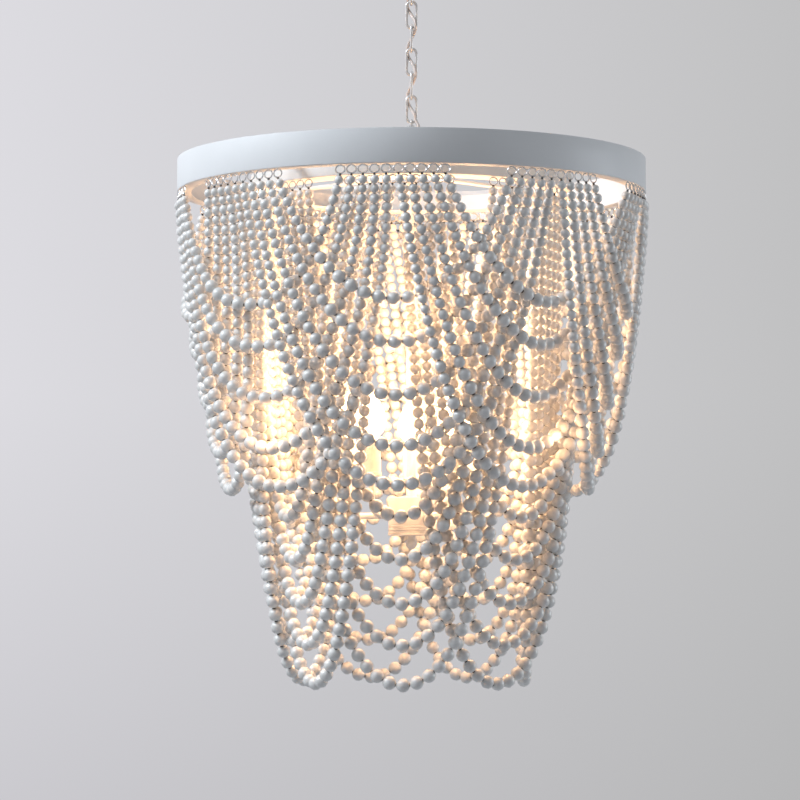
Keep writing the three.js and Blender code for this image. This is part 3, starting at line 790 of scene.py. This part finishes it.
def makeSleeve(number):
    low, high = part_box(f"lamp_holder_{number}")
    radius = lamps["sleeve"]
    bore = lamps["sleeveBore"]
    floor = high.z - lamps["boreDepth"]
    profile = [(0, low.z)] + edgePoints(radius, low.z, lamps["sleeveFoot"])
    profile += edgePoints(radius, high.z, lamps["sleeveTop"], -1)
    work = turned(profile + [(bore, high.z), (bore, floor), (0, floor)], 40,
                  at=(0, -lamps["circle"]))
    turnToLamp(work, number)
    addPiece(f"lamp_holder_{number}_sleeve", work, ["candleSleeve"], "chandelier",
             [f"lamp_holder_{number}"])


def makeBulb(number):
    low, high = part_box(f"bulb_{number}")
    place = (0, -lamps["circle"])
    foot = low.z + lamps["glassFoot"]
    outline = [(lamps["glass"] * across, foot + (high.z - foot) * rise)
               for rise, across in lamps["glassOutline"]]
    work = turned(outline + [(0, foot)], 32, at=place)
    radius = lamps["capRadius"]
    profile = [(0, low.z), (lamps["capContact"], low.z)]
    for ridge in range(lamps["threadTurns"]):
        base = low.z + lamps["threadFoot"] + ridge * lamps["threadPitch"]
        profile += [(radius - lamps["threadDepth"], base),
                    (radius, base + lamps["threadPitch"] / 2)]
    lap = lamps["capLap"]
    profile += [(radius, foot - lap), (radius, foot + lap), (0, foot + lap)]
    cap = turned(profile, 32, at=place)
    for face in cap.faces:
        face.material_index = 1
    absorb(work, cap)
    turnToLamp(work, number)
    addPiece(f"bulb_{number}_candle", work, ["litGlass", "lampCapMetal"], f"bulb_{number}",
             [f"bulb_{number}"])


makeHubDrum()
makeHubCover()
makeFinial()
for lampNumber in range(1, lamps["count"] + 1):
    makeArm(lampNumber)
    makeSleeve(lampNumber)
    makeBulb(lampNumber)
print("hub and lamps made")


# Bead strings: five nested catenaries in each set, every bead threaded on the wire. A grade of
# beads is the share of the half string that it reaches to, its size and its gap in sizes.
outerTier = {
    "name": "outer_swag", "groups": 9, "hangingRadius": 299 * mm, "loopPitch": 13.85 * mm,
    "lowestDrop": 379 * mm, "dropShares": [0.4195, 0.5528, 0.7177, 0.8773, 1],
    "bulgeOutShares": (0.097, 0.037), "bulgeOutPower": 1.2,
    "bulgeInShares": (0.0067, 0.067), "bulgeInPower": 6, "swapShare": 0.1, "frontSide": -1,
}
innerTier = {
    "name": "inner_swag", "groups": 7, "hangingRadius": 204.5 * mm, "loopPitch": 13.9 * mm,
    "lowestDrop": 621.5 * mm, "dropShares": [0.6693, 0.753, 0.8399, 0.922, 1],
    "bulgeOutShares": (0.1345, 0.1245), "bulgeOutPower": 5,
    "bulgeInShares": (0.0025, 0.008), "bulgeInPower": 5, "swapShare": 0.082, "frontSide": 1,
}
beads = {
    "grades": [(0.34, 17.1 * mm, 0.05), (0.48, 15.5 * mm, 0.02), (0.6, 14.1 * mm, 0.004),
               (0.9, 12.7 * mm, 0.002), (1, 11.2 * mm, 0.002)],
    "knot": 2.4 * mm, "boreShare": 0.27, "around": 10, "bands": 6, "facetSwell": 1.015,
    "sizeSpread": 0.012, "seed": 7, "turnShare": -0.0128, "curveSteps": 400,
    "wireRadius": 0.6 * mm, "wireEvery": 8, "knotAim": 6, "knotTurns": 2, "knotSteps": 16,
    "knotStart": 0.2 * mm, "knotLength": 2 * mm, "knotRadius": 1 * mm,
    "loopHeight": 11.8 * mm, "loopWire": 1.9 * mm, "loopLap": 0.4 * mm, "loopSteps": 16,
}
loopMiddle = bandFoot - touchGap - beads["loopHeight"] / 2


def blended(low, high, share):
    return low + (high - low) * share


# The scale of the catenary with this sag, found by halving the range between two bounds
def catenaryScale(halfSpan, sag, bound=40, halvings=60):
    low, high = halfSpan / bound, halfSpan * bound
    for _ in range(halvings):
        middle = math.sqrt(low * high)
        if middle * (math.cosh(halfSpan / middle) - 1) > sag:
            low = middle
        else:
            high = middle
    return high


# How far a string stands out from the plane between its loops: over one neighbour, under the other
def bulgeAt(tier, nestShare, share):
    def bulge(way):
        most = tier["hangingRadius"] * blended(*tier[f"bulge{way}Shares"], nestShare)
        return most * (1 - abs(2 * share) ** tier[f"bulge{way}Power"])

    over = (1 + math.tanh(share * tier["frontSide"] / tier["swapShare"])) / 2
    return blended(-bulge("In"), bulge("Out"), over)


def stringLine(tier, loopAngle, nestShare, drop):
    width = tier["loopPitch"] + beads["loopLap"]
    halfSpan = tier["hangingRadius"] * math.sin(loopAngle)
    plane = tier["hangingRadius"] * math.cos(loopAngle)
    top = loopMiddle - beads["loopHeight"] / 2 * (1 - beads["loopWire"] / width)
    sag = top - (bandFoot - drop)
    scale = catenaryScale(halfSpan, sag)
    length = 2 * scale * math.sinh(halfSpan / scale)

    def pointAt(share):
        along = scale * math.asinh(share * length / scale)
        height = top - sag + scale * (math.cosh(along / scale) - 1)
        return Vector((along, -plane - bulgeAt(tier, nestShare, share), height))

    return pointAt


# A string as points, with the length travelled up to each
def measured(pointAt):
    steps = beads["curveSteps"]
    points = [pointAt(step / steps - 0.5) for step in range(steps + 1)]
    travelled = [0.0]
    for here, there in zip(points, points[1:]):
        travelled.append(travelled[-1] + (there - here).length)
    return points, travelled


def placeOn(points, travelled, distance):
    index = min(max(bisect.bisect_right(travelled, distance) - 1, 0), len(points) - 2)
    share = (distance - travelled[index]) / (travelled[index + 1] - travelled[index])
    along = points[index + 1] - points[index]
    return points[index] + along * share, along.normalized()


# Beads from the middle of the string out to both knots, drilled flats face to face; the room
# that is left goes to the gaps
def beadPlaces(travelled):
    half = travelled[-1] / 2
    room = half - beads["knot"]
    heightShare = math.cos(math.asin(beads["boreShare"]))
    first = beads["grades"][0][1]
    steps = []
    reach = first * heightShare / 2
    while True:
        size, gapShare = next(grade[1:] for grade in beads["grades"] if reach / half < grade[0])
        if reach + size * (heightShare + gapShare) > room:
            break
        steps.append((size * heightShare / 2, size * gapShare, size))
        reach += size * (heightShare + gapShare)
    spare = (room - reach) / len(steps)
    places = [(half, first)]
    reach = first * heightShare / 2
    for halfHeight, gap, size in steps:
        reach += halfHeight + gap + spare
        places.append((half - reach, size))
        places.append((half + reach, size))
        reach += halfHeight
    return places


# A bead of size 1 with a facetted round side; its flat ends, which stand for the mouths of its
# hole, are in the second finish
def beadTemplate():
    work = bmesh.new()
    end = math.pi / 2 - math.asin(beads["boreShare"])
    bands = beads["bands"]
    angles = [end * (2 * step / bands - 1) for step in range(bands + 1)]
    turnProfile(work, [(math.cos(angle) / 2, math.sin(angle) / 2) for angle in angles],
                beads["around"])
    rims = [line for line in work.edges if line.is_boundary]
    for lid in bmesh.ops.holes_fill(work, edges=rims, sides=0)["faces"]:
        lid.material_index = 1
    bmesh.ops.recalc_face_normals(work, faces=work.faces)
    mesh = bpy.data.meshes.new("beadTemplate")
    work.to_mesh(mesh)
    work.free()
    return mesh


oneBead = beadTemplate()
cornersPerBead = len(oneBead.vertices)


def threadBeads(work, points, travelled, places, chance):
    batch = bmesh.new()
    for count, (distance, size) in enumerate(places):
        here, along = placeOn(points, travelled, distance)
        batch.from_mesh(oneBead)
        batch.verts.ensure_lookup_table()
        fresh = batch.verts[count * cornersPerBead:]
        actual = size * beads["facetSwell"] * (1 + chance.uniform(-1, 1) * beads["sizeSpread"])
        place = (Matrix.Translation(here) @ along.to_track_quat("Z", "Y").to_matrix().to_4x4()
                 @ Matrix.Rotation(chance.uniform(0, math.tau), 4, "Z")
                 @ Matrix.Diagonal((actual, actual, size, 1)))
        bmesh.ops.transform(batch, matrix=place, verts=fresh)
    absorb(work, batch)


# The wire wound round itself under each loop
def knotPath(end, towards):
    along = (towards - end).normalized()
    side = along.orthogonal().normalized()
    other = along.cross(side)
    path = []
    for step in range(beads["knotSteps"] + 1):
        share = step / beads["knotSteps"]
        angle = math.tau * beads["knotTurns"] * share
        wound = side * math.cos(angle) + other * math.sin(angle)
        path.append(end + along * (beads["knotStart"] + beads["knotLength"] * share)
                    + wound * beads["knotRadius"])
    return path


# The strings of one set: the angle of its two loops, its curve and its beads
def setStrings(tier):
    nested = len(tier["dropShares"])
    pitch = tier["loopPitch"] / tier["hangingRadius"]
    shift = (beads["loopLap"] + touchGap) / 2 / tier["hangingRadius"]
    strings = []
    for order, dropShare in enumerate(tier["dropShares"]):
        angle = math.tau / tier["groups"] - (nested - 0.5 - order) * pitch - shift
        pointAt = stringLine(tier, angle, order / (nested - 1), tier["lowestDrop"] * dropShare)
        points, travelled = measured(pointAt)
        strings.append((angle, points, travelled, beadPlaces(travelled)))
    return strings


# The wires and knots of one set, and its loops in the second finish
def setWires(tier, strings):
    wide = (tier["loopPitch"] - touchGap - beads["loopWire"]) / 2
    tall = (beads["loopHeight"] - beads["loopWire"]) / 2
    loop = []
    for step in range(beads["loopSteps"]):
        angle = math.tau * step / beads["loopSteps"]
        loop.append(Vector((wide * math.cos(angle), -tier["hangingRadius"],
                            loopMiddle + tall * math.sin(angle))))
    aim = beads["knotAim"]
    wirePaths, knotPaths, loopPaths = [], [], []
    for angle, points, _, _ in strings:
        wirePaths.append(points[::beads["wireEvery"]])
        knotPaths.append(knotPath(points[0], points[aim]))
        knotPaths.append(knotPath(points[-1], points[-1 - aim]))
        for side in (angle, -angle):
            turn = Matrix.Rotation(side, 3, "Z")
            loopPaths.append([turn @ point for point in loop])
    wires = tubesAlong(wirePaths + knotPaths, beads["wireRadius"], 0)
    loops = tubesAlong(loopPaths, beads["loopWire"] / 2, 0, cyclic=True)
    for face in loops.faces:
        face.material_index = 1
    absorb(wires, loops)
    mesh = bpy.data.meshes.new("wires")
    wires.to_mesh(mesh)
    wires.free()
    return mesh


def makeSets(tier):
    chance = random.Random(beads["seed"])
    strings = setStrings(tier)
    wireMesh = setWires(tier, strings)
    total = 0
    for number in range(1, tier["groups"] + 1):
        name = f"{tier['name']}_{number}"
        share = beads["turnShare"] + (number - 1) / tier["groups"]
        turn = Matrix.Rotation(math.tau * share, 3, "Z")
        work = bmesh.new()
        for _, points, travelled, places in strings:
            threadBeads(work, points, travelled, places, chance)
            total += len(places)
        bmesh.ops.rotate(work, verts=work.verts, matrix=turn)
        addPiece(f"{name}_beads", work, ["beadPaint", "holeShadow"], "chandelier",
                 [name])
        work = bmesh.new()
        work.from_mesh(wireMesh)
        bmesh.ops.rotate(work, verts=work.verts, matrix=turn)
        addPiece(f"{name}_wires", work, ["darkWire", "ringWire"], "chandelier")
    bpy.data.meshes.remove(wireMesh)
    print(tier["name"], "sets made with", total, "beads")


makeSets(outerTier)
makeSets(innerTier)


# CAD nodes that keep their own shape
for keptNode, finishName in (("ceiling_bracket", "platedSteel"), ("bracket_nut", "platedSteel"),
                             ("canopy_nipple", "platedSteel"), ("spider_nut", "platedSteel"),
                             ("hub_nut", "platedSteel"), ("frame_spider", "innerWhiteWithPaintedGlow")):
    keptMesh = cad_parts[keptNode].data
    keptMesh.materials.clear()
    keptMesh.materials.append(finishes[finishName])


# Studio: a pale backdrop all round, a floor far below and soft light mostly from the left. An
# area light is given by its power, size and place.
studio = {
    "floorBelow": 2.45, "floorRadius": 5.0, "floorLift": (0.25, 0.245, 0.232),
    "floorPaper": ((0.60, 0.60, 0.61), (0.64, 0.64, 0.65)),
    "ambient": ((0.03, 0.032, 0.035), (0.20, 0.213, 0.235)),
    "backdrop": ((0.720, 0.713, 0.750), (0.533, 0.533, 0.539)),
    "backdropLow": ((0.597, 0.591, 0.623), (0.474, 0.474, 0.479)),
    "viewWidth": 0.274, "fallAcross": 1, "fallDown": -2, "middleAcross": 0.5, "middleDown": 0.42,
    "lightColour": (0.92, 1.0, 1.09),
    "areaLights": {"key": (134, 1.2, (-3.2, -0.6, 1.8)), "fill": (36, 1.6, (3.3, 0.35, -0.3)),
                   "front": (34, 0.8, (-2.0, -2.6, 2.1))},
    "glowColour": (1.0, 0.58, 0.30), "glowPower": 2.6, "glowRadius": 0.1, "glowBelow": 0.1,
    "lampLightPower": 1.8, "lampLightRadius": 0.027, "lampLightShare": 0.6,
    "scatterCount": 8, "scatterPower": 0.13, "scatterSize": 0.02, "scatterCircle": 0.252,
    "scatterHeights": (-0.52, -0.66),
}


def floorPaper(shader, position):
    seen = shader.node("LightPath", {}, {}, "Is Camera Ray")
    return {
        "Base Color": shader.between(*studio["floorPaper"], shader.noise(position, 3)),
        "Emission Color": shader.between((0, 0, 0), studio["floorLift"], seen),
        "Emission Strength": 1,
    }


def makeFloor():
    work = bmesh.new()
    bmesh.ops.create_circle(work, cap_ends=True, segments=96, radius=studio["floorRadius"],
                            matrix=Matrix.Translation((0, 0, -studio["floorBelow"])))
    mesh = bpy.data.meshes.new("floor")
    work.to_mesh(mesh)
    work.free()
    material = makeMaterial("floorPaper", floorPaper)
    # The camera sees through the floor from below
    shader = Shader(material.node_tree)
    nodes = material.node_tree.nodes
    paper = Wire(shader, nodes["Principled BSDF"].outputs[0])
    back = shader.node("NewGeometry", {}, {}, "Backfacing")
    sided = shader.node("MixShader", {}, {0: back, 1: paper, 2: shader.node("BsdfTransparent")})
    shader.tree.links.new(sided.socket, nodes["Material Output"].inputs["Surface"])
    mesh.materials.append(material)
    floor = bpy.data.objects.new("floor", mesh)
    scene.collection.objects.link(floor)


def makeWorld():
    world = bpy.data.worlds.new("studio")
    scene.world = world
    world.use_nodes = True
    shader = Shader(world.node_tree)
    direction = shader.node("TexCoord", {}, {}, "Generated")
    sideways, upwards = [shader.node("SeparateXYZ", {}, {0: direction}, axis) for axis in (0, 2)]
    width = studio["viewWidth"]
    across = sideways * (studio["fallAcross"] / width) + studio["middleAcross"]
    down = upwards * (studio["fallDown"] / width) + studio["middleDown"]
    backdrop = shader.between(shader.between(*studio["backdrop"], across),
                              shader.between(*studio["backdropLow"], across), down)
    rays = [shader.node("LightPath", {}, {}, kind)
            for kind in ("Is Camera Ray", "Is Glossy Ray", "Is Transmission Ray")]
    direct = shader.maths("MAXIMUM", rays[0], shader.maths("MAXIMUM", rays[1], rays[2]))
    ambient = shader.between(*studio["ambient"], upwards * 0.5 + 0.5)
    colour = shader.between(ambient, backdrop, direct)
    background = world.node_tree.nodes["Background"]
    shader.tree.links.new(colour.socket, background.inputs["Color"])


def addLight(name, kind, place, settings):
    data = bpy.data.lights.new(name, kind)
    for setting, value in settings.items():
        setattr(data, setting, value)
    light = bpy.data.objects.new(name, data)
    light.location = place
    scene.collection.objects.link(light)
    return light


def makeAreaLight(name, power, size, place):
    light = addLight(name, "AREA", place, {"energy": power, "size": size,
                                           "color": studio["lightColour"]})
    target = Vector((0, 0, (bandFoot + cadBox[0][2]) / 2))
    light.rotation_euler = (target - Vector(place)).to_track_quat("-Z", "Y").to_euler()


def makeWarmLight(name, power, radius, place, body="chandelier"):
    light = addLight(name, "POINT", place, {"energy": power, "shadow_soft_size": radius,
                                            "color": studio["glowColour"]})
    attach(light, body)


def onCircle(radius, angle, height):
    return radius * math.sin(angle), -radius * math.cos(angle), height


# Warm light: the glow up into the hoops, one source round each lamp, and what they throw
# between the tiers
def makeWarmLights():
    makeWarmLight("glow", studio["glowPower"], studio["glowRadius"],
                  (0, 0, bandFoot - studio["glowBelow"]))
    for number in range(1, lamps["count"] + 1):
        low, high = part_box(f"bulb_{number}")
        height = blended(low.z, high.z, studio["lampLightShare"])
        makeWarmLight(f"lamp_light_{number}", studio["lampLightPower"], studio["lampLightRadius"],
                      onCircle(lamps["circle"], lampAngle(number), height), f"bulb_{number}")
    for number in range(studio["scatterCount"]):
        angle = math.tau * number / studio["scatterCount"]
        height = studio["scatterHeights"][number % 2]
        makeWarmLight(f"scattered_light_{number + 1}", studio["scatterPower"],
                      studio["scatterSize"], onCircle(studio["scatterCircle"], angle, height))


makeFloor()
makeWorld()
makeWarmLights()
for lightName, lightSettings in studio["areaLights"].items():
    makeAreaLight(lightName, *lightSettings)
print("studio ready")
